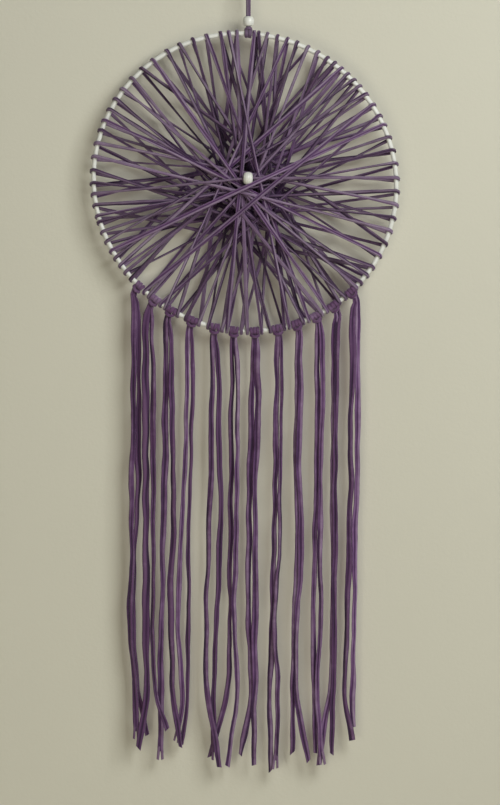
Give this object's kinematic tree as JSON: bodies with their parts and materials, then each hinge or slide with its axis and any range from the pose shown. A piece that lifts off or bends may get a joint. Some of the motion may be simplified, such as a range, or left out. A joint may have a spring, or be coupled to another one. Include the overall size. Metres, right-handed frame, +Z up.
{
  "type": "macrame dream catcher wall hanging on a wire hoop",
  "caption": "Dream catcher wall hanging: a white wire hoop filled with a web of wound purple yarn, with beads, a hanging loop and long yarn tassels.",
  "frame": {"origin": "inside the top of the hanging loop's eye, where a hook bears", "axes": "+Z up, +X to the right as seen from the front, and the front faces -Y"},
  "size_m": [0.3103, 0.0535, 0.8175],
  "materials": {
    "hoop_paint": "satin",
    "bead_lacquer": "painted, satin",
    "purple_jersey": "matte knit"
  },
  "bodies": {
    "root": {"hoop": "hoop_paint", "web": "purple_jersey", "centre_bead": "bead_lacquer", "top_bead": "bead_lacquer", "hanging_loop": "purple_jersey", "tassel_01": "purple_jersey", "tassel_02": "purple_jersey", "tassel_03": "purple_jersey", "tassel_04": "purple_jersey", "tassel_05": "purple_jersey", "tassel_06": "purple_jersey", "tassel_07": "purple_jersey", "tassel_08": "purple_jersey", "tassel_09": "purple_jersey", "tassel_10": "purple_jersey", "tassel_11": "purple_jersey", "tassel_12": "purple_jersey"}
  },
  "joints": []
}
